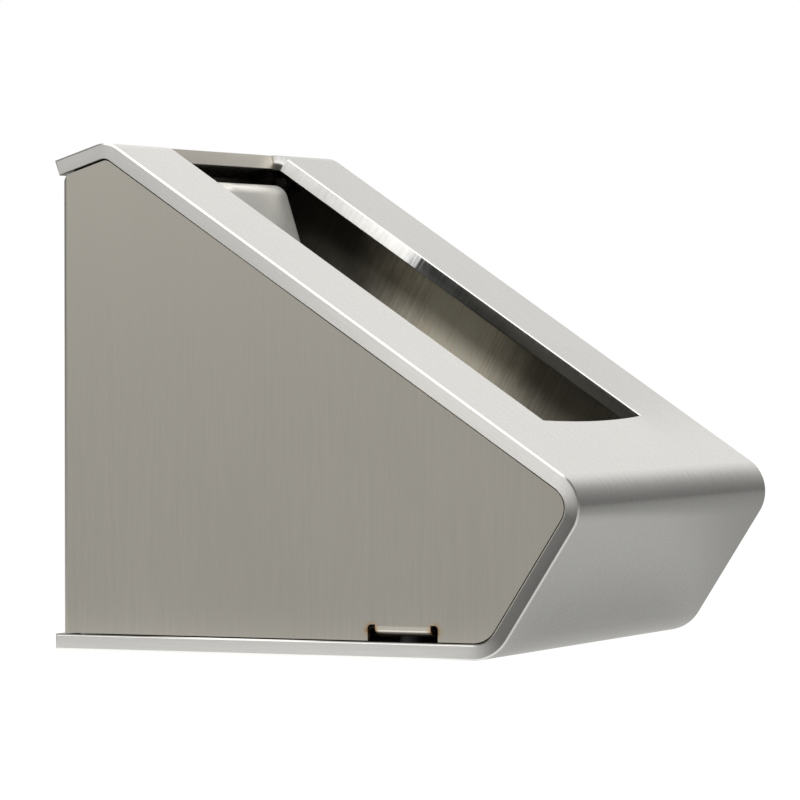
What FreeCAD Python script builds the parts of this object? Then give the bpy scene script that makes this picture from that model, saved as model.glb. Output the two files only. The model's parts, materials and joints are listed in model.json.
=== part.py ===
"""Wall-mounted ashtray bin: a thick folded plate with thin inset side panels.

The casing hangs on a hidden wall bracket, and an ash pan stands inside it.

Frame: millimetres, +Z up, the wall is the plane Y = 0 and the bin stands out towards -Y.
The origin is the middle of the four wall holes, and X = 0 is the middle of the width.
Heights in this file are measured from the underside of the bottom plate; main() lowers every
finished piece by MOUNT_HEIGHT, so that the origin is where the frame says.
Outlines are drawn in pairs of numbers; d is the distance out from the wall, so Y = -d.
"""

import FreeCAD, Part
import math
import os

V = FreeCAD.Vector
THROUGH = 20.0  # longer than any stack of sheets that is drilled
MOUNT_HEIGHT = 90.0  # from the underside of the bottom plate to the middle of the wall holes

# ---- Folded casing plate -------------------------------------------------------------
WIDTH = 210.0
PLATE_T = 6.0
FLANGE_END = (0.0, 187.5)  # outer face where the rear flange meets the wall (d, z)
RIDGE = (22.5, 195.0)  # sharp outer corners (d, z)
NOSE = (221.0, 61.5)
HEEL = (182.0, 0.0)
RIDGE_R = 4.0  # inside bend radii
NOSE_R = 9.0
HEEL_R = 10.5
EDGE_CHAMFER = 0.5
REAR_CORNER_R = 2.5  # of the bottom plate, at the wall

# ---- Opening -------------------------------------------------------------------------
OPENING_W = 106.0
OPENING_END = 190.7  # from the ridge corner down the slope to the opening's lower corners
OPENING_SAG = 2.0  # bow of the lower edge
STRIP_END = 20.3  # length of flange left behind the opening
STRIP_SLIT = 0.4  # relief cut between the strip and the ridge bend

# ---- Side panels ---------------------------------------------------------------------
SHEET_T = 2.0
PANEL_INSET = 1.0
PANEL_GAP = 0.5
PANEL_GAP_FLANGE = 0.6
PANEL_REAR = 2.5  # distance of the return flange from the wall
PANEL_CORNER = 2.2  # cut off the upper rear corner
SHEET_BEND_R = 1.0
RETURN_W = 12.0
TAB_FROM, TAB_TO = 133.3, 155.8
TAB_UNDER = 8.2
TAB_REACH = 14.5
TAB_BEND_R = 2.0
RELIEF_W = 3.0
RELIEF_TOP = 12.6

# ---- Wall bracket --------------------------------------------------------------------
BRACKET_T = 2.5
BRACKET_W = 180.0
BRACKET_LOW, BRACKET_TOP = 9.0, 176.0
BRACKET_CORNER_R = 8.0
HOOK_ANGLE = math.radians(30.0)  # the casing lifts off along this slope
HOOK_W = 16.0
HOOK_REACH = 16.0
HOOK_X = 72.0
HOOK_ROOTS = (100.0, 150.0)
HOOK_BEND_R = 1.5
LANCE_MARGIN = 1.5  # gap beside a tongue that is bent out of the plate
WALL_HOLE_R = 3.5
WALL_HOLE_X = 50.0
WALL_HOLE_Z = (MOUNT_HEIGHT - 55.0, MOUNT_HEIGHT + 55.0)
SINK_R, SINK_DEPTH = 5.5, 2.0
LUG_TOP, LUG_REACH, LUG_HALF_W = 166.0, 19.0, 12.0
BUFFER_R, BUFFER_T = 6.0, 1.9
BUFFER_SPOTS = ((30.0, 105.0), (30.0, 152.0))

# ---- Back plate ----------------------------------------------------------------------
BACK_HALF_W = 99.0
BACK_LOW = 92.0
BACK_FLANGE_REACH = 17.0
BACK_FLANGE_FROM = 56.0  # nearer the middle the top flange is cut short
BACK_MID_REACH = 9.0
HOOK_SLOT_PLAY = 0.5
WINDOW_HALF_W = 15.0
WINDOW_LOW, WINDOW_TOP = 154.5, 166.8
RIVET_R, RIVET_HEAD_R, RIVET_HEAD_T = 2.0, 4.0, 1.2
BACK_RIVET_X = 95.5
BACK_RIVET_Z = (98.0, 132.0, 166.0)

# ---- Studs and nuts that hold the sheet parts to the plate ----------------------------
STUD_R = 2.0
STUD_HOLE_PLAY = 0.2
STUD_PROUD = 1.5  # thread showing past its nut
NUT_T, NUT_AF = 3.2, 7.0
FLANGE_STUD_X = (70.0, 90.0)
FLANGE_STUD_ALONG = 13.5
TAB_STUD_X = 95.0
SPACER_R = 4.5

# ---- Stub hood -----------------------------------------------------------------------
HOOD_HALF_W = 52.5
HOOD_TOP = 179.5
HOOD_TOP_D = 25.0
HOOD_LEAN = math.radians(19.0)
HOOD_CHIN = 122.0  # height where the leaning front ends
HOOD_FOOT, HOOD_FOOT_D = 104.0, 16.0
HOOD_CORNER_R = (4.0, 9.0, 6.0)  # at the top, the chin and the foot
HOOD_WING_W = 10.5
HOOD_WING_Z = (112.0, 170.0)
HOOD_RIVET_X = HOOD_HALF_W + HOOD_WING_W / 2
HOOD_RIVET_Z = (122.0, 160.0)

# ---- Cam lock in the hood -------------------------------------------------------------
LOCK_Z = 149.0  # height of the lock face's centre on the hood
LOCK_FLANGE_R, LOCK_FLANGE_T = 10.0, 1.5
BARREL_R, BARREL_LENGTH = 8.0, 18.0
BARREL_HOLE_PLAY = 0.2
PLUG_R, PLUG_PLAY = 5.0, 0.05
PLUG_PROUD = 1.2
KEY_R, KEY_DEPTH = 3.4, 5.0
LOCK_NUT_T, LOCK_NUT_AF = 4.0, 21.0
CAM_T, CAM_W, CAM_LENGTH = 3.0, 10.0, 21.0
CAM_AT = -BARREL_LENGTH - 2.0  # front face of the cam, from the hood's face
CAM_SQUARE, CAM_SQUARE_PLAY = 6.8, 0.1
CAM_SCREW_R, CAM_SCREW_LENGTH = 2.0, 8.0
CAM_SCREW_HEAD_R, CAM_SCREW_HEAD_T = 4.2, 2.2
SCREW_SOCKET, SCREW_SOCKET_DEPTH = 2.8, 1.2

# ---- Ash pan -------------------------------------------------------------------------
PAN_T = 1.5
PAN_HALF_W = 88.0
PAN_REAR, PAN_FRONT, PAN_LIP = 12.0, 166.0, 190.0
PAN_FLOOR, PAN_RIM = 8.0, 72.0
PAN_BEND_R = 3.0
HEM_DEPTH = 7.0
FOOT_R, FOOT_T = 7.0, 1.8
FOOT_SPOTS = ((70.0, 30.0), (70.0, 150.0))
DRAIN_SPOTS = ((50.0, 30.0), (50.0, 150.0))
DRAIN_R = 2.5
PIVOT = (95.0, 63.0)  # handle pivot (d, z)
PIVOT_R = 2.5
WIRE_R = 2.5
HANDLE_X = 81.5
HANDLE_REACH = 50.0
HANDLE_BEND_R = 12.0
EYE_R, EYE_T = 6.0, 4.4
PIVOT_PLAY = 0.05
PIVOT_HEAD_T = 1.3

CASING_DRAINS = ((60.0, 60.0), (60.0, 120.0))
CASING_DRAIN_R = 3.0


# ---- Drawing helpers -----------------------------------------------------------------
def offset_right(corners, gaps):
    """Corners of the line that runs to the right of an open line, by one gap per stretch."""
    stretches = []
    for (u0, v0), (u1, v1), gap in zip(corners, corners[1:], gaps):
        length = math.hypot(u1 - u0, v1 - v0)
        du = (u1 - u0) / length
        dv = (v1 - v0) / length
        stretches.append((u0 + gap * dv, v0 - gap * du, u1 + gap * dv, v1 - gap * du, du, dv))
    moved = [stretches[0][:2]]
    for a, b in zip(stretches, stretches[1:]):
        cross = a[4] * b[5] - a[5] * b[4]
        along = ((b[0] - a[0]) * b[5] - (b[1] - a[1]) * b[4]) / cross
        moved.append((a[0] + along * a[4], a[1] + along * a[5]))
    moved.append(stretches[-1][2:4])
    return moved


def rounded_wire(points, radii):
    """Closed wire through 3D corner points, each rounded by its radius (0 keeps it sharp)."""
    edges = []
    joins = []
    count = len(points)
    for i, (corner, r) in enumerate(zip(points, radii)):
        if not r:
            joins.append((corner, corner))
            continue
        back = (points[i - 1] - corner).normalize()
        ahead = (points[(i + 1) % count] - corner).normalize()
        half = back.getAngle(ahead) / 2
        run = r / math.tan(half)
        bisector = (back + ahead).normalize()
        first = corner + back * run
        last = corner + ahead * run
        middle = corner + bisector * (r / math.sin(half) - r)
        edges.append(Part.Arc(first, middle, last).toShape())
        joins.append((first, last))
    for i, (_, leave) in enumerate(joins):
        arrive = joins[(i + 1) % count][0]
        if leave.distanceToPoint(arrive) > 1e-7:
            edges.append(Part.makeLine(leave, arrive))
    return Part.Wire(Part.__sortEdges__(edges))


def side_prism(outline, x0, x1, radii=None):
    """Solid from an outline in (d, z), from x0 to x1."""
    points = [V(x0, -d, z) for d, z in outline]
    wire = rounded_wire(points, radii or [0] * len(points))
    return Part.Face(wire).extrude(V(x1 - x0, 0, 0))


def plan_prism(outline, z0, z1, radii=None):
    """Solid from an outline in (x, d), from z0 to z1."""
    points = [V(x, -d, z0) for x, d in outline]
    wire = rounded_wire(points, radii or [0] * len(points))
    return Part.Face(wire).extrude(V(0, 0, z1 - z0))


def front_prism(outline, d0, d1, radii=None):
    """Solid from an outline in (x, z), from d0 to d1."""
    points = [V(x, -d0, z) for x, z in outline]
    wire = rounded_wire(points, radii or [0] * len(points))
    return Part.Face(wire).extrude(V(0, d0 - d1, 0))


def folded_outline(corners, thickness, inner_radii):
    """Outline of a bent sheet and its corner radii; the sheet lies to the right of the given line."""
    other = offset_right(corners, [thickness] * (len(corners) - 1))
    given_r = []
    other_r = []
    for a, b, c, r in zip(corners, corners[1:], corners[2:], inner_radii):
        turn = (b[0] - a[0]) * (c[1] - b[1]) - (b[1] - a[1]) * (c[0] - b[0])
        given_r.append(r if turn > 0 else r + thickness)
        other_r.append(r + thickness if turn > 0 else r)
    outline = list(corners) + other[::-1]
    radii = [0] + given_r + [0, 0] + other_r[::-1] + [0]
    return outline, radii


def box(x, d, z):
    """Box from three (low, high) pairs."""
    return Part.makeBox(x[1] - x[0], d[1] - d[0], z[1] - z[0], V(x[0], -d[1], z[0]))


def rod(centre, direction, radius, length):
    return Part.makeCylinder(radius, length, centre, direction)


def hexagon(centre, direction, flats, length):
    """Hexagonal prism, before its hole is cut."""
    across = V(1, 0, 0)
    other = direction.cross(across)
    corner_r = flats / math.sqrt(3)
    corners = []
    for i in range(6):
        turn = math.radians(60 * i)
        corners.append(centre + across * (corner_r * math.cos(turn)) + other * (corner_r * math.sin(turn)))
    face = Part.Face(Part.makePolygon(corners + corners[:1]))
    return face.extrude(direction * length)


def both_sides(shape):
    """A shape and its mirror image across the middle of the width."""
    return Part.makeCompound([shape, shape.mirror(V(0, 0, 0), V(1, 0, 0))])


def rivet_hole(x, z):
    """Cutter for a rivet hole square to the wall."""
    return rod(V(x, 0, z), V(0, -1, 0), RIVET_R, THROUGH)


def edges_where(shape, test):
    return [e for e in shape.Edges if test(e)]


def union(first, *others):
    return first.fuse(list(others)).removeSplitter()


# ---- Slopes of the casing ------------------------------------------------------------
OUTLINE = (FLANGE_END, RIDGE, NOSE, HEEL, (0.0, 0.0))
FLANGE_ANGLE = math.atan2(RIDGE[1] - FLANGE_END[1], RIDGE[0] - FLANGE_END[0])
SLOPE_ANGLE = math.atan2(RIDGE[1] - NOSE[1], NOSE[0] - RIDGE[0])


def flange_point(along, up):
    """(d, z) at a length along the rear flange from the wall, and a height off its outer face."""
    c, s = math.cos(FLANGE_ANGLE), math.sin(FLANGE_ANGLE)
    return FLANGE_END[0] + along * c - up * s, FLANGE_END[1] + along * s + up * c


def slope_vector(x, along, up):
    """Point at a length down the slope from the ridge corner, and a height off its outer face."""
    c, s = math.cos(SLOPE_ANGLE), math.sin(SLOPE_ANGLE)
    return V(x, -(RIDGE[0] + along * c + up * s), RIDGE[1] - along * s + up * c)


# ---- Casing plate --------------------------------------------------------------------
def opening_cutter(bend_start):
    """What the opening removes: the slope part with its bowed lower edge, and the ridge part."""
    half = OPENING_W / 2
    deep = 2 * PLATE_T
    top_left = slope_vector(-half, 0, -deep)
    top_right = slope_vector(half, 0, -deep)
    low_left = slope_vector(-half, OPENING_END, -deep)
    low_right = slope_vector(half, OPENING_END, -deep)
    bow = Part.Arc(low_left, slope_vector(0, OPENING_END + OPENING_SAG, -deep), low_right).toShape()
    lines = [
        Part.makeLine(top_left, low_left),
        bow,
        Part.makeLine(low_right, top_right),
        Part.makeLine(top_right, top_left),
    ]
    normal = slope_vector(0, 0, 1) - slope_vector(0, 0, 0)
    slope_part = Part.Face(Part.Wire(lines)).extrude(normal * (3 * deep))
    far = STRIP_END + 2 * deep
    corners = [(bend_start, -deep), (bend_start, deep), (far, deep), (far, -deep)]
    ridge_part = side_prism([flange_point(a, u) for a, u in corners], -half, half)
    return slope_part.fuse(ridge_part)


def casing_plate():
    outline, radii = folded_outline(OUTLINE, PLATE_T, (RIDGE_R, NOSE_R, HEEL_R))
    half = WIDTH / 2
    plate = side_prism(outline, -half, half, radii)

    def is_rear_corner(e):
        place = e.CenterOfMass
        return abs(place.x) > half - 1e-3 and place.y > -1e-3 and place.z < PLATE_T

    plate = plate.makeFillet(REAR_CORNER_R, edges_where(plate, is_rear_corner))
    rim = edges_where(plate, lambda e: abs(e.CenterOfMass.x) > half - 1e-3 and e.Length > 2 * PLATE_T)
    plate = plate.makeChamfer(EDGE_CHAMFER, rim)
    turn = FLANGE_ANGLE + SLOPE_ANGLE
    ridge_run = (RIDGE_R + PLATE_T) * math.tan(turn / 2)
    bend_start = math.hypot(RIDGE[0], RIDGE[1] - FLANGE_END[1]) - ridge_run
    plate = plate.cut(opening_cutter(bend_start))
    strip_start = bend_start - 1.0
    ends = [(strip_start, 0), (STRIP_END, 0), (STRIP_END, -PLATE_T), (strip_start, -PLATE_T)]
    strip_half = OPENING_W / 2 - STRIP_SLIT
    strip = side_prism([flange_point(a, u) for a, u in ends], -strip_half, strip_half)
    plate = union(plate, strip)
    drains = [
        rod(V(side * x, -d, -1), V(0, 0, 1), CASING_DRAIN_R, PLATE_T + 2)
        for x, d in CASING_DRAINS
        for side in (-1, 1)
    ]
    return plate.cut(drains)


# ---- Side panels ---------------------------------------------------------------------
PANEL_OUT = WIDTH / 2 - PANEL_INSET
PANEL_LINE = offset_right(OUTLINE, [PLATE_T + PANEL_GAP_FLANGE] + [PLATE_T + PANEL_GAP] * 3)
PANEL_LOW = PANEL_LINE[4][1]


def panel_top(d):
    """Height of the panel's upper edge under the rear flange."""
    ridge = PANEL_LINE[1]
    return ridge[1] - (ridge[0] - d) * math.tan(FLANGE_ANGLE)


def panel_flat():
    """The flat of the left panel, which follows the inside of the folded plate."""
    rear = PANEL_REAR + SHEET_BEND_R + SHEET_T
    outline = [(rear, panel_top(rear)), *PANEL_LINE[1:4], (rear, PANEL_LOW)]
    radii = [0, RIDGE_R - PANEL_GAP_FLANGE, NOSE_R - PANEL_GAP, HEEL_R - PANEL_GAP, 0]
    return side_prism(outline, -PANEL_OUT, SHEET_T - PANEL_OUT, radii)


def tab_relief():
    """What is cut away around the tab: a slot on each side, and the panel's foot between them."""
    low = PANEL_LOW - SHEET_T
    bend_top = TAB_UNDER + TAB_BEND_R + SHEET_T
    outline = [
        (TAB_FROM - RELIEF_W, low),
        (TAB_FROM - RELIEF_W, RELIEF_TOP),
        (TAB_FROM, RELIEF_TOP),
        (TAB_FROM, bend_top),
        (TAB_TO, bend_top),
        (TAB_TO, RELIEF_TOP),
        (TAB_TO + RELIEF_W, RELIEF_TOP),
        (TAB_TO + RELIEF_W, low),
    ]
    end_r = 0.49 * RELIEF_W
    radii = [0, end_r, 0, 0, 0, 0, end_r, 0]
    return side_prism(outline, -PANEL_OUT - 1, SHEET_T - PANEL_OUT + 1, radii)


def panel_return():
    """Rear flange of the panel, which carries the back plate."""
    front = PANEL_REAR + SHEET_BEND_R + SHEET_T + 1
    inner = RETURN_W - PANEL_OUT
    line = [(inner, PANEL_REAR), (-PANEL_OUT, PANEL_REAR), (-PANEL_OUT, front)]
    outline, radii = folded_outline(line, SHEET_T, [SHEET_BEND_R])
    corner_end = PANEL_REAR + PANEL_CORNER
    silhouette = [
        (PANEL_REAR, PANEL_LOW),
        (PANEL_REAR, panel_top(PANEL_REAR) - PANEL_CORNER),
        (corner_end, panel_top(corner_end)),
        (front, panel_top(front)),
        (front, PANEL_LOW),
    ]
    limit = side_prism(silhouette, -PANEL_OUT, inner, [0, PANEL_CORNER / 2, PANEL_CORNER / 2, 0, 0])
    return plan_prism(outline, PANEL_LOW, panel_top(front), radii).common(limit)


def panel_tab():
    line = [(TAB_REACH - PANEL_OUT, TAB_UNDER), (-PANEL_OUT, TAB_UNDER), (-PANEL_OUT, RELIEF_TOP + 2)]
    outline, radii = folded_outline(line, SHEET_T, [TAB_BEND_R])
    return front_prism(outline, TAB_FROM, TAB_TO, radii)


def side_panel_left():
    stud_hole = rod(tab_centre(0), V(0, 0, 1), STUD_R + STUD_HOLE_PLAY, THROUGH)
    holes = [stud_hole] + [rivet_hole(BACK_RIVET_X, z) for z in BACK_RIVET_Z]
    mirrored = [hole.mirror(V(0, 0, 0), V(1, 0, 0)) for hole in holes]
    return union(panel_flat().cut(tab_relief()), panel_return(), panel_tab()).cut(mirrored)


def side_panel_right():
    return side_panel_left().mirror(V(0, 0, 0), V(1, 0, 0))


# ---- Wall bracket --------------------------------------------------------------------
def bracket_hook(x, root):
    """Tongue bent out of the plate, rising away from the wall."""
    below = 4.0
    tip_z = root + HOOK_REACH * math.tan(HOOK_ANGLE)
    line = [(0.0, root - below), (0.0, root), (HOOK_REACH, tip_z)]
    outline, radii = folded_outline(line, BRACKET_T, [HOOK_BEND_R])
    return side_prism(outline, x - HOOK_W / 2, x + HOOK_W / 2, radii)


def lance_window(x, half, low, high):
    """Window that a tongue leaves in the plate."""
    return box((x - half - LANCE_MARGIN, x + half + LANCE_MARGIN), (-1, BRACKET_T + 1), (low, high))


def strike_lug():
    """Level tongue at the top edge that the lock's cam catches."""
    line = [(0.0, LUG_TOP - 9.0), (0.0, LUG_TOP), (LUG_REACH, LUG_TOP)]
    outline, radii = folded_outline(line, BRACKET_T, [HOOK_BEND_R])
    return side_prism(outline, -LUG_HALF_W, LUG_HALF_W, radii)


def wall_bracket():
    half = BRACKET_W / 2
    corners = [(-half, BRACKET_LOW), (half, BRACKET_LOW), (half, BRACKET_TOP), (-half, BRACKET_TOP)]
    plate = front_prism(corners, 0, BRACKET_T, [BRACKET_CORNER_R] * 4)
    cuts = [lance_window(0, LUG_HALF_W, LUG_TOP - 8.0, BRACKET_TOP + 1)]
    tongues = [strike_lug()]
    for root in HOOK_ROOTS:
        for x in (-HOOK_X, HOOK_X):
            cuts.append(lance_window(x, HOOK_W / 2, root - BRACKET_T, root + HOOK_REACH + 2))
            tongues.append(bracket_hook(x, root))
    for z in WALL_HOLE_Z:
        for x in (-WALL_HOLE_X, WALL_HOLE_X):
            cuts.append(rod(V(x, 1, z), V(0, -1, 0), WALL_HOLE_R, BRACKET_T + 2))
            sink_base = V(x, -(BRACKET_T - SINK_DEPTH), z)
            cuts.append(Part.makeCone(WALL_HOLE_R, SINK_R, SINK_DEPTH, sink_base, V(0, -1, 0)))
    return union(plate.cut(cuts), *tongues)


def bracket_buffers():
    pads = []
    for x, z in BUFFER_SPOTS:
        pad = rod(V(x, -BRACKET_T, z), V(0, -1, 0), BUFFER_R, BUFFER_T)
        rim = edges_where(pad, lambda e: e.CenterOfMass.y < -BRACKET_T - BUFFER_T + 0.01)
        pads.append(pad.makeFillet(BUFFER_T / 4, rim))
    return both_sides(Part.makeCompound(pads))


# ---- Back plate ----------------------------------------------------------------------
def hook_slots(rear, front):
    """Slots of the back plate that pass the bracket's hooks along their slope."""
    slope = math.tan(HOOK_ANGLE)
    thick = BRACKET_T / math.cos(HOOK_ANGLE)
    slots = []
    for root in HOOK_ROOTS:
        low = root + rear * slope - thick - HOOK_SLOT_PLAY
        high = root + front * slope + HOOK_SLOT_PLAY
        for x in (-HOOK_X, HOOK_X):
            wide = (x - HOOK_W / 2 - 1, x + HOOK_W / 2 + 1)
            slots.append(box(wide, (rear - 1, front + 1), (low, high)))
    return slots


def back_plate():
    rear = PANEL_REAR + SHEET_T
    front = rear + SHEET_T
    rise = math.tan(FLANGE_ANGLE)
    under = FLANGE_END[1] - PLATE_T / math.cos(FLANGE_ANGLE)
    line = [
        (rear, BACK_LOW),
        (rear, under + rear * rise),
        (BACK_FLANGE_REACH, under + BACK_FLANGE_REACH * rise),
    ]
    outline, radii = folded_outline(line, SHEET_T, [SHEET_BEND_R])
    plate = side_prism(outline, -BACK_HALF_W, BACK_HALF_W, radii)
    past_flange = BACK_FLANGE_REACH + 1
    cuts = hook_slots(rear, front)
    middle = (-BACK_FLANGE_FROM, BACK_FLANGE_FROM)
    cuts.append(box(middle, (BACK_MID_REACH, past_flange), (under - PLATE_T, RIDGE[1])))
    cuts.append(box((-WINDOW_HALF_W, WINDOW_HALF_W), (rear - 1, front + 1), (WINDOW_LOW, WINDOW_TOP)))
    for side in (-1, 1):
        cuts += [rivet_hole(side * BACK_RIVET_X, z) for z in BACK_RIVET_Z]
        cuts += [rivet_hole(side * HOOD_RIVET_X, z) for z in HOOD_RIVET_Z]
        for x in FLANGE_STUD_X:
            hole_r = STUD_R + STUD_HOLE_PLAY
            cuts.append(flange_rod(side * x, hole_r, -PLATE_T - SHEET_T - 1, 1 - PLATE_T))
    return plate.cut(cuts)


def flange_rod(x, radius, low, high):
    """Rod square to the rear flange, between two heights off its outer face."""
    d0, z0 = flange_point(FLANGE_STUD_ALONG, low)
    d1, z1 = flange_point(FLANGE_STUD_ALONG, high)
    start = V(x, -d0, z0)
    axis = V(x, -d1, z1) - start
    return rod(start, axis, radius, axis.Length)


def back_rivets():
    front = PANEL_REAR + 2 * SHEET_T
    rivets = [blind_rivet(BACK_RIVET_X, z, PANEL_REAR, front) for z in BACK_RIVET_Z]
    return both_sides(Part.makeCompound(rivets))


def blind_rivet(x, z, start, head_at):
    """Flush at its far end, domed at the head."""
    shank = rod(V(x, -start, z), V(0, -1, 0), RIVET_R, head_at - start)
    head = rod(V(x, -head_at, z), V(0, -1, 0), RIVET_HEAD_R, RIVET_HEAD_T)
    rim = edges_where(head, lambda e: e.CenterOfMass.y < -head_at - RIVET_HEAD_T + 0.01)
    return union(shank, head.makeFillet(RIVET_HEAD_T * 0.7, rim))


# ---- Studs, spacers and nuts ---------------------------------------------------------
def flange_studs():
    low = -PLATE_T - SHEET_T - NUT_T - STUD_PROUD
    studs = [flange_rod(x, STUD_R, low, -PLATE_T) for x in FLANGE_STUD_X]
    return both_sides(Part.makeCompound(studs))


def flange_nuts():
    top = -PLATE_T - SHEET_T
    d0, z0 = flange_point(FLANGE_STUD_ALONG, top)
    d1, z1 = flange_point(FLANGE_STUD_ALONG, top - 1)
    down = V(0, -d1, z1) - V(0, -d0, z0)
    nuts = []
    for x in FLANGE_STUD_X:
        centre = V(x, -d0, z0)
        hole = rod(centre, down, STUD_R, NUT_T)
        nuts.append(hexagon(centre, down, NUT_AF, NUT_T).cut(hole))
    return both_sides(Part.makeCompound(nuts))


def tab_centre(z):
    return V(TAB_STUD_X, -(TAB_FROM + TAB_TO) / 2, z)


def tab_studs():
    length = TAB_UNDER + SHEET_T + NUT_T + STUD_PROUD - PLATE_T
    return both_sides(rod(tab_centre(PLATE_T), V(0, 0, 1), STUD_R, length))


def tab_spacers():
    height = TAB_UNDER - PLATE_T
    disc = rod(tab_centre(PLATE_T), V(0, 0, 1), SPACER_R, height)
    hole = rod(tab_centre(PLATE_T), V(0, 0, 1), STUD_R + STUD_HOLE_PLAY, height)
    return both_sides(disc.cut(hole))


def tab_nuts():
    base = tab_centre(TAB_UNDER + SHEET_T)
    nut = hexagon(base, V(0, 0, 1), NUT_AF, NUT_T)
    return both_sides(nut.cut(rod(base, V(0, 0, 1), STUD_R, NUT_T)))


# ---- Stub hood -----------------------------------------------------------------------
def hood_section(z, front, half, corner_r, rear):
    """Level cut through the hood: straight flanks and a front with rounded corners."""
    points = [V(-half, -rear, z), V(-half, -front, z), V(half, -front, z), V(half, -rear, z)]
    return rounded_wire(points, [0, corner_r, corner_r, 0])


def hood_body(skin, rear):
    """Solid within the hood's skin, moved in from the outer face by the given depth."""
    lean = math.tan(HOOD_LEAN)
    top = HOOD_TOP - skin
    chin_front = HOOD_TOP_D + (HOOD_TOP - HOOD_CHIN) * lean
    inward = skin / math.cos(HOOD_LEAN)
    levels = [
        (top, HOOD_TOP_D + skin * lean - inward, HOOD_CORNER_R[0]),
        (HOOD_CHIN, chin_front - inward, HOOD_CORNER_R[1]),
        (HOOD_FOOT + skin, HOOD_FOOT_D - skin / 2, HOOD_CORNER_R[2]),
    ]
    half = HOOD_HALF_W - skin
    wires = [hood_section(z, front, half, max(r - skin, 1.0), rear) for z, front, r in levels]
    return Part.makeLoft(wires, True, True)


def lock_frame():
    """Centre of the lock face on the hood, and the direction that the lock faces."""
    front = HOOD_TOP_D + (HOOD_TOP - LOCK_Z) * math.tan(HOOD_LEAN)
    facing = V(0, -math.cos(HOOD_LEAN), math.sin(HOOD_LEAN))
    return V(0, -front, LOCK_Z), facing


def stub_hood():
    rear = PANEL_REAR + 2 * SHEET_T
    shell = hood_body(0.0, rear).cut(hood_body(SHEET_T, rear - 1))
    wings = []
    for side in (-1, 1):
        near, far = side * (HOOD_HALF_W - SHEET_T), side * (HOOD_HALF_W + HOOD_WING_W)
        x = (min(near, far), max(near, far))
        wings.append(box(x, (rear, rear + SHEET_T), HOOD_WING_Z))
    shell = union(shell, *wings)
    face, facing = lock_frame()
    cuts = [rod(face + facing, facing * -1, BARREL_R + BARREL_HOLE_PLAY, 2 + SHEET_T)]
    for x in (-HOOD_RIVET_X, HOOD_RIVET_X):
        cuts += [rivet_hole(x, z) for z in HOOD_RIVET_Z]
    return shell.cut(cuts)


def hood_rivets():
    start = PANEL_REAR + SHEET_T
    rivets = [blind_rivet(HOOD_RIVET_X, z, start, start + 2 * SHEET_T) for z in HOOD_RIVET_Z]
    return both_sides(Part.makeCompound(rivets))


# ---- Cam lock ------------------------------------------------------------------------
def lock_rod(start, end, radius):
    """Rod on the lock's axis between two distances out from the hood's face."""
    face, facing = lock_frame()
    return rod(face + facing * start, facing, radius, end - start)


def lock_barrel():
    flange = lock_rod(0, LOCK_FLANGE_T, LOCK_FLANGE_R)
    face, facing = lock_frame()
    front = face + facing * LOCK_FLANGE_T

    def is_front_rim(e):
        return e.Curve.TypeId == "Part::GeomCircle" and e.CenterOfMass.distanceToPoint(front) < 0.01

    flange = flange.makeFillet(LOCK_FLANGE_T / 2, edges_where(flange, is_front_rim))
    body = union(flange, lock_rod(-BARREL_LENGTH, 0, BARREL_R))
    return body.cut(lock_rod(-BARREL_LENGTH - 1, LOCK_FLANGE_T + 1, PLUG_R + PLUG_PLAY))


def lock_nut():
    face, facing = lock_frame()
    base = face - facing * SHEET_T
    nut = hexagon(base, facing * -1, LOCK_NUT_AF, LOCK_NUT_T)
    return nut.cut(rod(base, facing * -1, BARREL_R, LOCK_NUT_T))


def square_bar(start, end, side):
    """Square bar on the lock's axis."""
    face, facing = lock_frame()
    across = V(1, 0, 0)
    other = facing.cross(across)
    half = side / 2
    centre = face + facing * start
    turns = ((-1, -1), (1, -1), (1, 1), (-1, 1))
    corners = [centre + across * (half * a) + other * (half * b) for a, b in turns]
    return Part.Face(Part.makePolygon(corners + corners[:1])).extrude(facing * (end - start))


def lock_plug():
    """Round plug with a three-sided key socket in front and a square for the cam behind."""
    face, facing = lock_frame()
    plug = union(lock_rod(CAM_AT, PLUG_PROUD, PLUG_R), square_bar(CAM_AT - CAM_T, CAM_AT, CAM_SQUARE))
    base = face + facing * (PLUG_PROUD - KEY_DEPTH)
    other = facing.cross(V(1, 0, 0))
    corners = []
    for i in range(3):
        turn = math.radians(120 * i + 90)
        corners.append(base + V(1, 0, 0) * (KEY_R * math.cos(turn)) + other * (KEY_R * math.sin(turn)))
    socket = Part.Face(Part.makePolygon(corners + corners[:1])).extrude(facing * (KEY_DEPTH + 1))
    screw_hole = lock_rod(CAM_AT - CAM_T - 1, CAM_AT - CAM_T + CAM_SCREW_LENGTH, CAM_SCREW_R)
    return plug.cut([socket, screw_hole])


def lock_cam():
    """Flat cam that lies sideways when the lock is open."""
    face, facing = lock_frame()
    other = facing.cross(V(1, 0, 0))
    base = face + facing * (CAM_AT - CAM_T)
    half = CAM_W / 2
    outline = [(-half, -half), (CAM_LENGTH, -half), (CAM_LENGTH, half), (-half, half)]
    points = [base + V(1, 0, 0) * a + other * b for a, b in outline]
    round_end = 0.99 * half
    tip_r = 2.0
    blade = Part.Face(rounded_wire(points, [round_end, tip_r, tip_r, round_end])).extrude(facing * CAM_T)
    return blade.cut(square_bar(CAM_AT - CAM_T - 1, CAM_AT + 1, CAM_SQUARE + CAM_SQUARE_PLAY))


def cam_screw():
    seat = CAM_AT - CAM_T
    top = seat - CAM_SCREW_HEAD_T
    shank = lock_rod(seat, seat + CAM_SCREW_LENGTH, CAM_SCREW_R)
    head = lock_rod(top, seat, CAM_SCREW_HEAD_R)
    socket = square_bar(top - 1, top + SCREW_SOCKET_DEPTH, SCREW_SOCKET)
    return union(shank, head).cut(socket)


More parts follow.
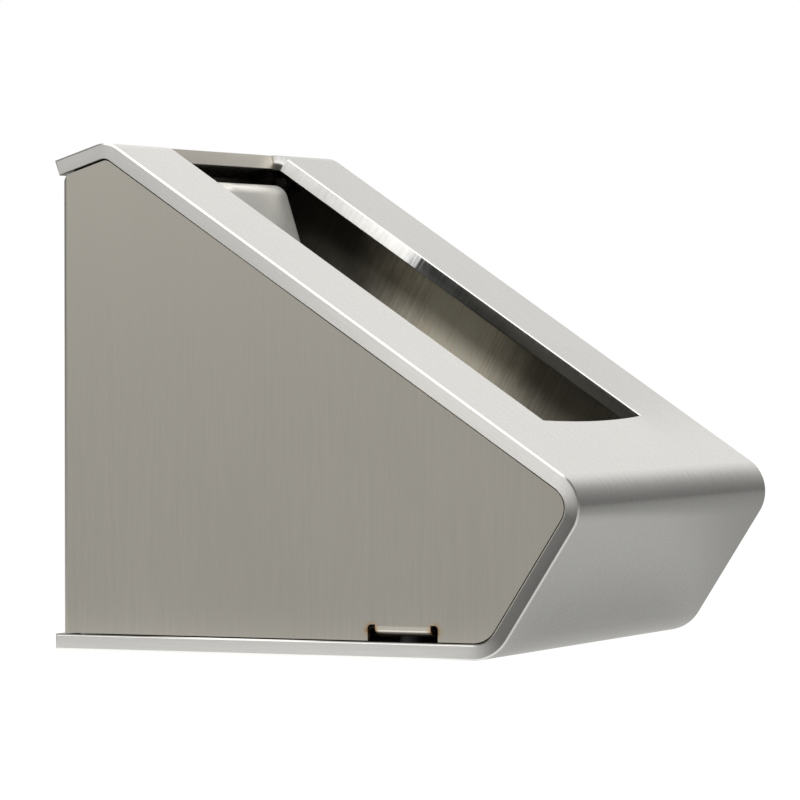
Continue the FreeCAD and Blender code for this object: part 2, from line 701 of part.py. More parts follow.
# ---- Ash pan -------------------------------------------------------------------------
def pan_outline(skin, top):
    """Side view of the pan, moved in by a skin."""
    lean = math.atan2(PAN_LIP - PAN_FRONT, PAN_RIM - PAN_FLOOR)
    inward = skin / math.cos(lean)
    rise = math.tan(lean)
    floor = PAN_FLOOR + skin
    return [
        (PAN_REAR + skin, floor),
        (PAN_FRONT + skin * rise - inward, floor),
        (PAN_FRONT + (top - PAN_FLOOR) * rise - inward, top),
        (PAN_REAR + skin, top),
    ]


def pan_block(skin, top, radius):
    """Block with the pan's outline and rounded lower edges."""
    half = PAN_HALF_W - skin
    block = side_prism(pan_outline(skin, top), -half, half)
    low = PAN_FLOOR + skin

    def is_low(e):
        return abs(e.CenterOfMass.z - low) < 1e-3

    return block.makeFillet(radius, edges_where(block, is_low))


def ash_pan():
    outer = pan_block(0.0, PAN_RIM, PAN_BEND_R)
    over = PAN_RIM + 1
    inner = pan_block(PAN_T, over, PAN_BEND_R - PAN_T)
    half = PAN_HALF_W - 2 * PAN_T
    hem_hole = side_prism(pan_outline(2 * PAN_T, over), -half, half)
    hem_band = box((-WIDTH, WIDTH), (0, NOSE[0]), (PAN_RIM - HEM_DEPTH, PAN_RIM))
    shell = outer.cut(inner)
    hem = outer.common(hem_band).cut(hem_hole)
    pan = union(shell, hem)
    cuts = []
    for side in (-1, 1):
        for x, d in DRAIN_SPOTS:
            cuts.append(rod(V(side * x, -d, 0), V(0, 0, 1), DRAIN_R, THROUGH))
        start = V(side * (PAN_HALF_W + 1), -PIVOT[0], PIVOT[1])
        cuts.append(rod(start, V(-side, 0, 0), PIVOT_R, THROUGH))
    return pan.cut(cuts)


def pan_feet():
    feet = [
        rod(V(x, -d, PAN_FLOOR - FOOT_T), V(0, 0, 1), FOOT_R, FOOT_T)
        for x, d in FOOT_SPOTS
    ]
    return both_sides(Part.makeCompound(feet))


def handle_pivots():
    """Shoulder rivets through the pan's sides; the handle turns on them."""
    side_play = 0.3
    inside = HANDLE_X - EYE_T / 2 - side_play
    outer = V(PAN_HALF_W, -PIVOT[0], PIVOT[1])
    inner = V(inside, -PIVOT[0], PIVOT[1])
    pin = rod(outer, V(-1, 0, 0), PIVOT_R, PAN_HALF_W - inside)
    outer_head = rod(outer, V(1, 0, 0), 2 * PIVOT_R, PIVOT_HEAD_T)
    inner_head = rod(inner, V(-1, 0, 0), 2 * PIVOT_R, PIVOT_HEAD_T)
    return both_sides(union(pin, outer_head, inner_head))


def pan_handle():
    """Bail of bent rod that lies forward inside the rim."""
    d, z = PIVOT
    r = HANDLE_BEND_R
    reach = d + HANDLE_REACH
    pieces = [rod(V(r - HANDLE_X, -reach, z), V(1, 0, 0), WIRE_R, 2 * (HANDLE_X - r))]
    holes = []
    for side in (-1, 1):
        leg_end = V(side * HANDLE_X, r - reach, z)
        pieces.append(rod(V(side * HANDLE_X, -d, z), V(0, -1, 0), WIRE_R, HANDLE_REACH - r))
        disc = Part.Face(Part.Wire(Part.makeCircle(WIRE_R, leg_end, V(0, -1, 0))))
        pieces.append(disc.revolve(V(side * (HANDLE_X - r), r - reach, z), V(0, 0, -side), 90))
        start = V(side * (HANDLE_X - EYE_T / 2), -d, z)
        pieces.append(rod(start, V(side, 0, 0), EYE_R, EYE_T))
        holes.append(rod(start - V(side, 0, 0), V(side, 0, 0), PIVOT_R + PIVOT_PLAY, EYE_T + 2))
    return union(*pieces).cut(holes)


NODES = {
    "wall_bracket": wall_bracket,
    "bracket_buffers": bracket_buffers,
    "casing_plate": casing_plate,
    "side_panel_left": side_panel_left,
    "side_panel_right": side_panel_right,
    "back_plate": back_plate,
    "back_rivets": back_rivets,
    "flange_studs": flange_studs,
    "flange_nuts": flange_nuts,
    "tab_studs": tab_studs,
    "tab_spacers": tab_spacers,
    "tab_nuts": tab_nuts,
    "stub_hood": stub_hood,
    "hood_rivets": hood_rivets,
    "lock_barrel": lock_barrel,
    "lock_nut": lock_nut,
    "lock_plug": lock_plug,
    "lock_cam": lock_cam,
    "cam_screw": cam_screw,
    "ash_pan": ash_pan,
    "pan_feet": pan_feet,
    "handle_pivots": handle_pivots,
    "pan_handle": pan_handle,
}


def main():
    os.makedirs("parts", exist_ok=True)
    for name, build in NODES.items():
        piece = build()
        piece.translate(V(0, 0, -MOUNT_HEIGHT))
        piece.exportStep(f"parts/{name}.step")


main()
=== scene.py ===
"""Looks of the wall-mounted ashtray bin: brushed stainless around a hidden bracket, lock and pan."""

import json
import math
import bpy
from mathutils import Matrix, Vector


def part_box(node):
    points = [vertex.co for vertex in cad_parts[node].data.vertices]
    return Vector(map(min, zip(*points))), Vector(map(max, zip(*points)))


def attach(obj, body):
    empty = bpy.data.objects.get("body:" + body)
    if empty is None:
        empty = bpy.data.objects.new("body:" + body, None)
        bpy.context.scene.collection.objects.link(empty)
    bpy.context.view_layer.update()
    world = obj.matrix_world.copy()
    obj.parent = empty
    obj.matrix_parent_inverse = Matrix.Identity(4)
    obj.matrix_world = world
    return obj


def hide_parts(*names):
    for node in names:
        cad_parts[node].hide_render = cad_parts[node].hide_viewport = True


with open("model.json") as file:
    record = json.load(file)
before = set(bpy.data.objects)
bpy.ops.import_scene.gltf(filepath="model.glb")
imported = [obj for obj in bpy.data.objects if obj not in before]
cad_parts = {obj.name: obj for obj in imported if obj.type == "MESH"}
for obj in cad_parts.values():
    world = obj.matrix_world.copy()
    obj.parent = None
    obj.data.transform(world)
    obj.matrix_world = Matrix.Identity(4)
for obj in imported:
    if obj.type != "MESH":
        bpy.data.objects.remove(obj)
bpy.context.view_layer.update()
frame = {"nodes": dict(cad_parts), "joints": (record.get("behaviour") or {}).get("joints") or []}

from types import SimpleNamespace

import bmesh
import bpy
from mathutils import Vector

MM = 0.001

# ---- Camera --------------------------------------------------------------------------------
EYE = Vector((-1868.2, -895.3, 36.8)) * MM
LOOK = Vector((0.92055, 0.39010, -0.02011))
LENS_MM = 231.4
SENSOR_MM = 36.0
SHIFT = (-0.0129, 0.0282)

# ---- Folded plate, in millimetres from the underside of its bottom (d is out from the wall) ----
PLATE_LOW, PLATE_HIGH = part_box("casing_plate")
BASE_Z = PLATE_LOW.z
HALF_W = PLATE_HIGH.x / MM
PLATE_T = 6.0
FLANGE_END, RIDGE, NOSE, HEEL = (0.0, 187.5), (22.5, 195.0), (221.0, 61.5), (182.0, 0.0)
INNER_RADII = (4.0, 9.0, 10.5)  # inside the bends at the ridge, the nose and the heel
BEND_STEP = math.radians(3.0)
OPENING_HALF = 53.0
OPENING_END = 190.7  # along the slope, from the ridge's corner
OPENING_SAG = 2.0
SAG_STEPS = 16  # steps across the bowed lower end of the opening
STRIP_END = 20.3  # length of the straight strip of flange behind the opening
STRIP_SLIT = 0.4
DRAINS = ((60.0, 60.0), (60.0, 120.0))
DRAIN_R = 3.0
RIM_BEVEL = 0.65
RIM_ANGLE = 35.0  # edges sharper than this get a rim
RIM_SHARES = {"outer": 1.0, "slope_inside": 0.25, "strip": 0.3, "slit": 0.0, "opening": 0.6, "inside": 0.3}
SLOPE_FROM = RIDGE[0] - 4.0  # d past which an upper edge belongs to the slope
STRIP_TO = RIDGE[0] + 8.0  # d up to which an edge in the middle belongs to the rear strip
NEAR = 1.0  # slack when an edge or a point is told apart by its place

# ---- Stub hood: (d, z, corner radius) of its front at three heights -------------------------
HOOD_TOP = (25.0, 179.5, 4.0)
HOOD_CHIN = (44.8, 122.0, 9.0)
HOOD_FOOT = (16.0, 104.0, 6.0)
HOOD_HALF_W = 52.5
HOOD_REAR = -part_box("stub_hood")[1].y / MM
HOOD_T = 2.0
HOOD_EDGE_R = 3.0
HOOD_LEAST_R = 1.5  # corner radius at the top edge
HOOD_ARC = 8  # steps in each rounded corner
HOOD_CHIN_LEVELS = (12.0, 4.0, 1.5, 0.0, -1.5, -4.0)  # heights from the chin that get a row of points
HOOD_CHIN_REACH = 4.0  # height over which the chin is eased
HOOD_LIP = 6.0  # height of the last row of points over the foot
HOOD_WING_Z = (112.0, 170.0)
HOOD_RIM = 0.25
HOOD_RIM_ANGLE = 50.0
LOCK_HOLE_R = 8.2

# ---- Tones of the plate, mostly painted light and shade: (start, end, tone before, tone after), lengths in mm from the wall ----
# painted reflection on the outer rims: lighter down the slope, dark on the lower front, light again on the
# bottom
RIM_PAINTED_TONES = (
    (30.0, 250.0, 1.02, 1.47),
    (252.0, 268.0, 1.0, 0.22),
    (320.0, 340.0, 1.0, 2.9),
)
CUT_HIGHLIGHT_END = 101.0  # length up to which the opening's long edges get a painted highlight
CUT_HIGHLIGHT_FADE = 4.0  # how far before that length the last of it has faded
CUT_HIGHLIGHT_RAG = 16.0  # how far the fade reaches back and wanders
# painted highlight: tone of the opening's long edges, rising towards that length
CUT_HIGHLIGHT_TONE = (45.0, CUT_HIGHLIGHT_END - 10.0, 0.95, 1.40)
# tone of the opening's long edges past the painted highlight
LOWER_CUT_TONE = 0.98
CUT_SPAN = (NEAR, OPENING_END + STRIP_END + 10.0)  # lengths between which the middle's edges are laser cuts
# painted highlight on the rims' chamfers
CHAMFER_HIGHLIGHT_TONE = 1.45
RIGHT_SHADE = (30.0, 60.0, 1.0, 0.83)  # painted shade on the slope, darker by millimetres to the right of the middle
BEYOND_SLOPE = (190.0, 240.0, 0.0, 1.0)  # where the right side's painted shade fades out round the nose
PLATE_CLOUD = (12, 14, 14)

# ---- Grain: layers of noise as (weight, features per metre in each direction) ----------------
FACE_GRAIN = ((0.6, (2400, 60, 2400)), (0.4, (800, 25, 1500)))
CUT_GRAIN = ((0.7, (900, 900, 90)), (0.3, (250, 250, 250)))
UPRIGHT_GRAIN = ((0.55, (1500, 1500, 60)), (0.45, (600, 600, 22)))
SHEET_CLOUD = (16, 16, 9)
GRAIN_RELIEF = 0.006
NOISE_SPAN = (0.3, 0.7)  # where most of a noise's values lie
ACROSS = (1.0, 0.0, 0.0)
OUT = (0.0, 1.0, 0.0)

# ---- Colours -------------------------------------------------------------------------------
PLATE_COLOUR = (0.675, 0.67, 0.65, 1.0)
# painted highlight on the cut faces of the rear strip
STRIP_HIGHLIGHT_COLOUR = (0.98, 0.93, 0.84, 1.0)
# bluish tint of the opening's long edges past the painted highlight
LOWER_CUT_TINT = (0.78, 0.82, 0.90, 1.0)
SHEET_COLOUR = (0.475, 0.454, 0.405, 1.0)
# painted highlight on the side panels' bent tabs
TAB_HIGHLIGHT_COLOUR = (0.86, 0.83, 0.76, 1.0)
HOOD_COLOUR = (1.0, 0.98, 0.92, 1.0)
INNER_COLOUR = (1.0, 0.93, 0.76, 1.0)
BACK_COLOUR = (0.62, 0.605, 0.57, 1.0)
PAN_COLOUR = (0.58, 0.55, 0.50, 1.0)
# painted shade inside the casing
INNER_SHADE_COLOUR = (0.035, 0.030, 0.022, 1.0)
ASH_COLOUR = (0.11, 0.10, 0.09, 1.0)

# ---- Painted shade inside, by (start, end, share before, share after) in mm from the wall, then stains ---
SHADE_BACK = (22.0, 62.0, 1.0, 0.0)
SHADE_FRONT = (74.0, 112.0, 0.0, 0.78)
SHADE_WANDER = 24.0
ASH_LINE = (22.0, 34.0, 1.0, 0.0)  # millimetres over the bottom
ASH_WANDER = 30.0
RELIEFS = (131.8, 157.3)  # d of the two relief slots beside the side panel's tab
RELIEF_Z = 10.5
TAB_HALF = 11.3
HEAT_WANDER = 1.6
HEAT_TINTS = (  # start and end of the fade from a slot's middle, strength, colour
    (1.2, 3.4, 0.55, (0.50, 0.34, 0.17, 1.0)),
    (0.8, 1.8, 0.80, (0.26, 0.15, 0.07, 1.0)),
)

# ---- Small parts: colour, roughness, metallic, features per metre, spread of tone, relief, nodes ----
SMALL_FINISHES = {
    "bracket_zinc": ((0.46, 0.47, 0.48), 0.50, 0.85, 260, 0.14, 0.02, ("wall_bracket",)),
    "fixing_zinc": ((0.68, 0.68, 0.64), 0.33, 1.0, 1500, 0.08, 0.01,
                    ("back_rivets", "tab_studs", "tab_nuts", "lock_cam", "cam_screw", "handle_pivots")),
    # painted shade: these rear studs, nuts and rivets are near black so they read as shade
    "fixing_painted_dark": ((0.09, 0.085, 0.075), 0.55, 0.9, 1500, 0.20, 0.01,
                      ("flange_studs", "flange_nuts", "hood_rivets")),
    "lock_chrome": ((0.80, 0.80, 0.80), 0.14, 1.0, 1800, 0.03, 0.004, ("lock_barrel", "lock_plug")),
    "lock_brass": ((0.72, 0.55, 0.29), 0.30, 1.0, 1300, 0.08, 0.01, ("lock_nut",)),
    "rod_polished": ((0.72, 0.71, 0.69), 0.22, 1.0, 1600, 0.05, 0.006, ("pan_handle",)),
    # black rubber; on the tab spacers it also serves as painted shade of the gap under the tab
    "black_rubber": ((0.022, 0.021, 0.020), 0.72, 0.0, 1200, 0.25, 0.03, ("bracket_buffers", "tab_spacers")),
    "foot_plastic": ((0.030, 0.030, 0.032), 0.50, 0.0, 2200, 0.15, 0.03, ("pan_feet",)),
}
SMALL_CLOUD = (110, 110, 110)

# ---- Studio --------------------------------------------------------------------------------
FLOOR_Z = BASE_Z - 0.4 * MM
FLOOR_HALF = 40.0
FLOOR_COLOUR = (0.70, 0.70, 0.69, 1.0)
GLOW_COLOUR = (1.0, 0.995, 0.98, 1.0)
FLOOR_DEPTHS = (-0.20, -0.15, 0.45, 1.00)  # y: start, end, painted glow in front of the bin (dim, as painted shade under its overhang), painted glow beside it
FLOOR_LEFT = (-0.20, -0.13, 0.4, 1.0)  # x: start, end, share of the painted glow before, share after
FLOOR_RIGHT = (0.13, 0.20, 1.0, 0.5)
FLOOR_SEEN = 1.06  # glow that the camera sees
ROOM_COLOUR = (1.0, 0.99, 0.97, 1.0)
ROOM_TONE = 0.17
CARDS = (  # direction, half width, half height, softness, strength
    ((0.85, 0.15, 0.50), 0.38, 0.43, 0.12, 0.94),  # overhead right, seen in the slope
    ((-0.80, 0.60, 0.00), 0.50, 0.40, 0.25, 0.98),  # left, seen in the side panel
    ((-0.78, -0.10, 0.62), 0.45, 0.24, 0.12, 0.45),  # key light at the upper left
    ((-0.12, 0.05, 0.99), 0.42, 0.42, 0.12, 1.40),  # overhead, seen in the bevels
)
LAMP_PLACE = Vector((-1.3, -0.35, 1.1))
LAMP_SIZE = 0.9
LAMP_WATTS = 42.0


# ---- Shader graph helpers ----------------------------------------------------------------
class Graph:
    """Short way to write a node tree."""

    def __init__(self, tree):
        self.tree = tree
        tree.nodes.clear()

    def node(self, kind, **settings):
        made = self.tree.nodes.new("ShaderNode" + kind)
        for name, value in settings.items():
            setattr(made, name, value)
        return made

    def feed(self, socket, value):
        if isinstance(value, bpy.types.NodeSocket):
            self.tree.links.new(value, socket)
        elif value is not None:
            socket.default_value = value

    def math(self, operation, a, b=None, c=None):
        made = self.node("Math", operation=operation)
        for socket, value in zip(made.inputs, (a, b, c)):
            self.feed(socket, value)
        return made.outputs[0]

    def vector(self, operation, a, b=None, output=0):
        made = self.node("VectorMath", operation=operation)
        for socket, value in zip(made.inputs, (a, b)):
            self.feed(socket, value)
        return made.outputs[output]

    def ramp(self, value, low, high, to_low=0.0, to_high=1.0):
        made = self.node("MapRange", interpolation_type="SMOOTHSTEP")
        for socket, number in zip(made.inputs, (value, low, high, to_low, to_high)):
            self.feed(socket, number)
        return made.outputs[0]

    def mix(self, factor, a, b, blend="MIX"):
        made = self.node("Mix", data_type="RGBA", blend_type=blend)
        for index, value in ((0, factor), (6, a), (7, b)):
            self.feed(made.inputs[index], value)
        return made.outputs[2]

    def noise(self, place, scale, detail=2.0, roughness=0.5):
        """Noise whose features are 1/scale metres long in each direction."""
        made = self.node("TexNoise")
        self.feed(made.inputs["Vector"], self.vector("MULTIPLY", place, scale))
        self.feed(made.inputs["Scale"], 1.0)
        self.feed(made.inputs["Detail"], detail)
        self.feed(made.inputs["Roughness"], roughness)
        return made.outputs[0]

    def split(self, vector):
        made = self.node("SeparateXYZ")
        self.feed(made.inputs[0], vector)
        return made.outputs

    def join(self, x, y, z):
        made = self.node("CombineXYZ")
        for socket, value in zip(made.inputs, (x, y, z)):
            self.feed(socket, value)
        return made.outputs[0]

    def blend(self, factor, a, b):
        """Number between a and b."""
        made = self.node("Mix", data_type="FLOAT")
        for index, value in ((0, factor), (2, a), (3, b)):
            self.feed(made.inputs[index], value)
        return made.outputs[0]

    def sum(self, *pairs):
        """Weighted sum of (weight, value) pairs."""
        total = None
        for weight, value in pairs:
            part = self.math("MULTIPLY", value, weight)
            total = part if total is None else self.math("ADD", total, part)
        return total

    def times(self, first, *others):
        """Product of all the values."""
        for other in others:
            first = self.math("MULTIPLY", first, other)
        return first

    def along(self, value, start, end, before, after):
        """Ramp between two distances in millimetres."""
        return self.ramp(value, start * MM, end * MM, before, after)

    def layered(self, place, layers):
        """Weighted layers of noise."""
        return self.sum(*((weight, self.noise(place, scale, 2.0, 0.6)) for weight, scale in layers))

    def shaded(self, colour, tone):
        """Colour made lighter or darker."""
        return self.mix(1.0, colour, self.join(tone, tone, tone), "MULTIPLY")

    def place(self):
        return self.node("TexCoord").outputs["Object"]

    def true_normal(self):
        return self.node("NewGeometry").outputs["True Normal"]

    def attribute(self, name):
        return self.node("Attribute", attribute_name=name).outputs["Vector"]


def new_material(name):
    material = bpy.data.materials.new(name)
    material.use_nodes = True
    graph = Graph(material.node_tree)
    output = graph.node("OutputMaterial")
    shader = graph.node("BsdfPrincipled")
    graph.feed(output.inputs["Surface"], shader.outputs[0])
    return material, graph, shader


def emboss(graph, shader, height, strength, relief_mm, normal=None):
    """Fine relief of the surface."""
    bumps = graph.node("Bump")
    graph.feed(bumps.inputs["Strength"], strength)
    graph.feed(bumps.inputs["Distance"], relief_mm * MM)
    graph.feed(bumps.inputs["Height"], height)
    graph.feed(bumps.inputs["Normal"], normal)
    graph.feed(shader.inputs["Normal"], bumps.outputs[0])


def finish_metal(graph, shader, colour, grain, roughness, stretch, tangent,
                 metallic=1.0, contrast=0.08, bump=0.20, normal=None):
    """Common end of every brushed metal: tone, roughness, stretch and relief all follow the same grain."""
    graph.feed(shader.inputs["Metallic"], metallic)
    graph.feed(shader.inputs["Base Color"], colour)
    uneven = graph.ramp(grain, *NOISE_SPAN, 1.0 - contrast, 1.0 + contrast)
    graph.feed(shader.inputs["Roughness"], graph.times(uneven, roughness))
    graph.feed(shader.inputs["Anisotropic"], stretch)
    graph.feed(shader.inputs["Tangent"], tangent)
    emboss(graph, shader, grain, bump, GRAIN_RELIEF, normal)


def toned(graph, colour, grain, cloud, spread):
    """Base colour that varies with the grain and with broad cloudy patches."""
    uneven = graph.ramp(graph.sum((0.7, grain), (0.3, cloud)), *NOISE_SPAN, -1.0, 1.0)
    return graph.shaded(colour, graph.math("MULTIPLY_ADD", uneven, spread, 1.0))


def shade_inside(graph, place, base):
    """Painted shade: dark at the back under the ridge, and again towards the front."""
    out = graph.math("MULTIPLY", graph.split(place)[1], -1.0 / MM)
    patchy = graph.math("MULTIPLY", graph.noise(place, (45, 45, 45), 3.0, 0.6), SHADE_WANDER)
    reach = graph.math("SUBTRACT", out, patchy)
    darkening = graph.math("MAXIMUM", graph.ramp(reach, *SHADE_BACK), graph.ramp(reach, *SHADE_FRONT))
    not_rear_face = graph.ramp(graph.split(graph.true_normal())[1], 0.3, 0.6, 0.92, 0.0)
    return graph.mix(graph.times(darkening, not_rear_face), base, INNER_SHADE_COLOUR)


def plate_zones(graph, laid, outward, normal):
    """Masks of the plate's edges, their chamfers, the opening's cut, its lower part past the painted
    highlight and the strip's end.
    """
    across, length, _ = graph.split(laid)
    lying = graph.math("ABSOLUTE", graph.vector("DOT_PRODUCT", normal, outward, 1))
    aside = graph.math("ABSOLUTE", graph.split(normal)[0])
    edge = graph.ramp(lying, 0.25, 0.40, 1.0, 0.0)
    chamfer = graph.times(graph.ramp(lying, 0.2, 0.3), graph.ramp(aside, 0.2, 0.3))
    cut = graph.times(
        edge,
        graph.math("LESS_THAN", graph.math("ABSOLUTE", across), (OPENING_HALF + 2 * RIM_BEVEL) * MM),
        graph.math("GREATER_THAN", length, CUT_SPAN[0] * MM),
        graph.math("LESS_THAN", length, CUT_SPAN[1] * MM),
    )
    # the painted highlight on the cut ends raggedly
    ragged = graph.math("MULTIPLY", graph.noise(laid, (0, 500, 40), 2.0, 0.6), CUT_HIGHLIGHT_RAG * MM)
    past_highlight = graph.math("SUBTRACT", length, ragged)
    fade = (CUT_HIGHLIGHT_END - CUT_HIGHLIGHT_RAG, CUT_HIGHLIGHT_END - CUT_HIGHLIGHT_FADE)
    lower_cut = graph.times(cut, graph.along(past_highlight, *fade, 0.0, 1.0))
    strip = graph.times(cut, graph.math("LESS_THAN", length, (STRIP_END + NEAR) * MM))
    return SimpleNamespace(edge=edge, chamfer=chamfer, cut=cut, lower_cut=lower_cut, strip=strip)


def plate_tone(graph, laid, zone):
    """Painted light and shade on the plate: its slope darker to the right, its outer rims and the opening's
    cut lighter or darker by their length, its chamfers lighter.
    """
    across, length, _ = graph.split(laid)
    face = graph.blend(graph.along(length, *BEYOND_SLOPE), graph.along(across, *RIGHT_SHADE), 1.0)
    rim = graph.times(*(graph.along(length, *step) for step in RIM_PAINTED_TONES))
    cut = graph.blend(zone.lower_cut, graph.along(length, *CUT_HIGHLIGHT_TONE), LOWER_CUT_TONE)
    tone = graph.blend(zone.edge, face, graph.blend(zone.cut, rim, cut))
    return graph.blend(zone.chamfer, tone, CHAMFER_HIGHLIGHT_TONE)


def plate_colour(graph, laid, zone, grain):
    """Tone with its painted light and shade, the strip's cut painted light as a highlight, the bluish lower
    part of the cut and painted shade on the inner face.
    """
    cloud = graph.noise(laid, PLATE_CLOUD)
    colour = toned(graph, PLATE_COLOUR, grain, cloud, graph.blend(zone.edge, 0.025, 0.10))
    colour = graph.shaded(colour, plate_tone(graph, laid, zone))
    # painted highlight on the strip's cut faces
    colour = graph.mix(zone.strip, colour, STRIP_HIGHLIGHT_COLOUR)
    colour = graph.mix(zone.lower_cut, colour, graph.mix(1.0, colour, LOWER_CUT_TINT, "MULTIPLY"))
    deep = graph.along(graph.split(laid)[2], 0.90 * PLATE_T, 0.98 * PLATE_T, 0.0, 1.0)
    inside = graph.times(deep, graph.math("SUBTRACT", 1.0, zone.edge))
    return graph.mix(inside, colour, shade_inside(graph, graph.place(), colour))


def plate_material():
    """Thick plate: brushed along the fold on its faces, ground and laser-cut on its edges."""
    material, graph, shader = new_material("plate_brushed")
    laid = graph.attribute("laid_flat")
    outward = graph.attribute("outward")
    normal = graph.true_normal()
    zone = plate_zones(graph, laid, outward, normal)
    grain = graph.blend(zone.cut, graph.layered(laid, FACE_GRAIN), graph.layered(laid, CUT_GRAIN))
    ground = graph.vector("CROSS_PRODUCT", outward, normal)
    roughness = graph.blend(zone.edge, 0.27, graph.blend(zone.lower_cut, 0.42, 0.24))
    upper_cut = graph.math("SUBTRACT", graph.math("SUBTRACT", zone.cut, zone.lower_cut), zone.strip)
    finish_metal(
        graph, shader, plate_colour(graph, laid, zone, grain), grain,
        roughness=graph.blend(zone.chamfer, roughness, 0.24),
        stretch=graph.blend(zone.chamfer, 0.75, 0.0),
        tangent=graph.mix(zone.edge, (*ACROSS, 1.0), graph.mix(zone.lower_cut, outward, ground)),
        metallic=graph.ramp(upper_cut, 0.0, 1.0, 1.0, 0.35),
        contrast=0.10,
        bump=graph.blend(zone.edge, 0.045, 0.35),
        normal=graph.mix(zone.chamfer, graph.node("NewGeometry").outputs["Normal"], normal),
    )
    return material


def new_sheet(name):
    """Material of a sheet part, with the place on it, its upright grain and its clouds."""
    material, graph, shader = new_material(name)
    place = graph.place()
    grain = graph.layered(place, UPRIGHT_GRAIN)
    cloud = graph.noise(place, SHEET_CLOUD)
    return material, graph, shader, place, grain, cloud


def heat_tint(graph, place, base):
    """Brown and straw colours left by the laser at the relief slots beside the tab."""
    _, y, z = graph.split(place)
    flat = graph.join(0.0, y, z)
    wander = graph.math("MULTIPLY", graph.noise(place, (700, 700, 700), 2.0, 0.6), HEAT_WANDER * MM)
    for d in RELIEFS:
        far = graph.vector("DISTANCE", flat, (0.0, -d * MM, BASE_Z + RELIEF_Z * MM), 1)
        near = graph.math("SUBTRACT", far, wander)
        for start, end, strength, colour in HEAT_TINTS:
            base = graph.mix(graph.along(near, start, end, strength, 0.0), base, colour)
    return base


def tab_highlight_mask(graph, place):
    """One on the bent tab of a side panel, where its painted highlight goes."""
    _, y, z = graph.split(place)
    beside = graph.math("ABSOLUTE", graph.math("SUBTRACT", y, -sum(RELIEFS) / 2 * MM))
    return graph.times(
        graph.math("LESS_THAN", z, BASE_Z + RELIEF_Z * MM),
        graph.math("LESS_THAN", beside, TAB_HALF * MM),
    )


def side_material():
    """Side panel: brushed upright outside, with a painted highlight on its bent tab; duller inside, with
    painted shade.
    """
    material, graph, shader, place, grain, cloud = new_sheet("sheet_brushed")
    facing_in = graph.times(graph.split(place)[0], graph.split(graph.true_normal())[0])
    inside = graph.math("LESS_THAN", facing_in, -0.05)
    outer = graph.mix(tab_highlight_mask(graph, place), toned(graph, SHEET_COLOUR, grain, cloud, 0.05), TAB_HIGHLIGHT_COLOUR)
    slanted = graph.vector("DOT_PRODUCT", place, (0.0, 0.88, 0.47), 1)
    swept = graph.noise(graph.join(slanted, 0.0, 0.0), (650, 1, 1), 3.0, 0.6)
    hatched = graph.sum((0.3, grain), (0.7, swept))
    inner = shade_inside(graph, place, toned(graph, INNER_COLOUR, hatched, cloud, 0.32))
    finish_metal(
        graph, shader, heat_tint(graph, place, graph.mix(inside, outer, inner)), grain,
        roughness=graph.blend(inside, 0.32, 0.62),
        stretch=graph.blend(inside, 0.7, 0.2),
        tangent=OUT,
        metallic=graph.blend(inside, 1.0, 0.25),
    )
    return material


def inner_material():
    """Back plate: mill finish, with painted shade."""
    material, graph, shader, place, grain, cloud = new_sheet("inner_mill")
    base = shade_inside(graph, place, toned(graph, BACK_COLOUR, grain, cloud, 0.12))
    finish_metal(graph, shader, base, grain, roughness=0.5, stretch=0.2, tangent=ACROSS)
    return material


def hood_material():
    """Hood: bright satin sheet, brushed upright."""
    material, graph, shader, _, grain, cloud = new_sheet("hood_satin")
    base = toned(graph, HOOD_COLOUR, grain, cloud, 0.07)
    finish_metal(graph, shader, base, grain, roughness=0.42, stretch=0.6, tangent=OUT, metallic=0.75)
    return material


def pan_material():
    """Ash pan: satin sheet, with grey ash and tar stains on its floor and low on its walls."""
    material, graph, shader, place, grain, cloud = new_sheet("pan_satin")
    up = graph.split(graph.node("NewGeometry").outputs["Normal"])[2]
    height = graph.math("SUBTRACT", graph.split(place)[2], BASE_Z)
    patches = graph.math("MULTIPLY", graph.noise(place, (70, 70, 70), 4.0, 0.65), ASH_WANDER * MM)
    low = graph.along(graph.math("ADD", height, patches), *ASH_LINE)
    darkening = graph.times(low, graph.ramp(up, -0.1, 0.6, 0.25, 0.9))
    base = graph.mix(darkening, toned(graph, PAN_COLOUR, grain, cloud, 0.07), ASH_COLOUR)
    roughness = graph.blend(darkening, 0.40, 0.75)
    finish_metal(graph, shader, base, grain, roughness=roughness, stretch=0.4, tangent=OUT)
    return material


def small_material(name, colour, roughness, metallic, scale, spread, relief_mm):
    """Finish of a small part: fine uneven tone, handling marks in the roughness and a slight relief."""
    material, graph, shader = new_material(name)
    place = graph.place()
    fine = graph.noise(place, (scale, scale, scale), 3.0, 0.6)
    cloud = graph.noise(place, SMALL_CLOUD)
    graph.feed(shader.inputs["Base Color"], toned(graph, (*colour, 1.0), fine, cloud, spread))
    graph.feed(shader.inputs["Metallic"], metallic)
    uneven = graph.ramp(graph.sum((0.5, fine), (0.5, cloud)), *NOISE_SPAN, 0.8, 1.2)
    graph.feed(shader.inputs["Roughness"], graph.times(uneven, roughness))
    emboss(graph, shader, fine, 0.3, relief_mm)
    return material


def paint(material, *nodes):
    """Gives the CAD nodes their material."""
    for node in nodes:
        for slot in frame["nodes"][node].material_slots:
            slot.material = material


# ---- Steps that both rebuilt pieces share -----------------------------------------------------
def settle(piece):
    """Applies the modifiers of a piece."""
    graph = bpy.context.evaluated_depsgraph_get()
    mesh = bpy.data.meshes.new_from_object(piece.evaluated_get(graph))
    piece.modifiers.clear()
    piece.data = mesh


def cut_out(piece, cutters, crossing_itself=False):
    """Takes the cutters out of the piece and deletes them."""
    for cutter in cutters:
        hole = piece.modifiers.new("hole", "BOOLEAN")
        hole.operation = "DIFFERENCE"
        hole.solver = "EXACT"
        hole.use_self = crossing_itself
        hole.object = cutter
    settle(piece)
    for cutter in cutters:
        bpy.data.objects.remove(cutter)


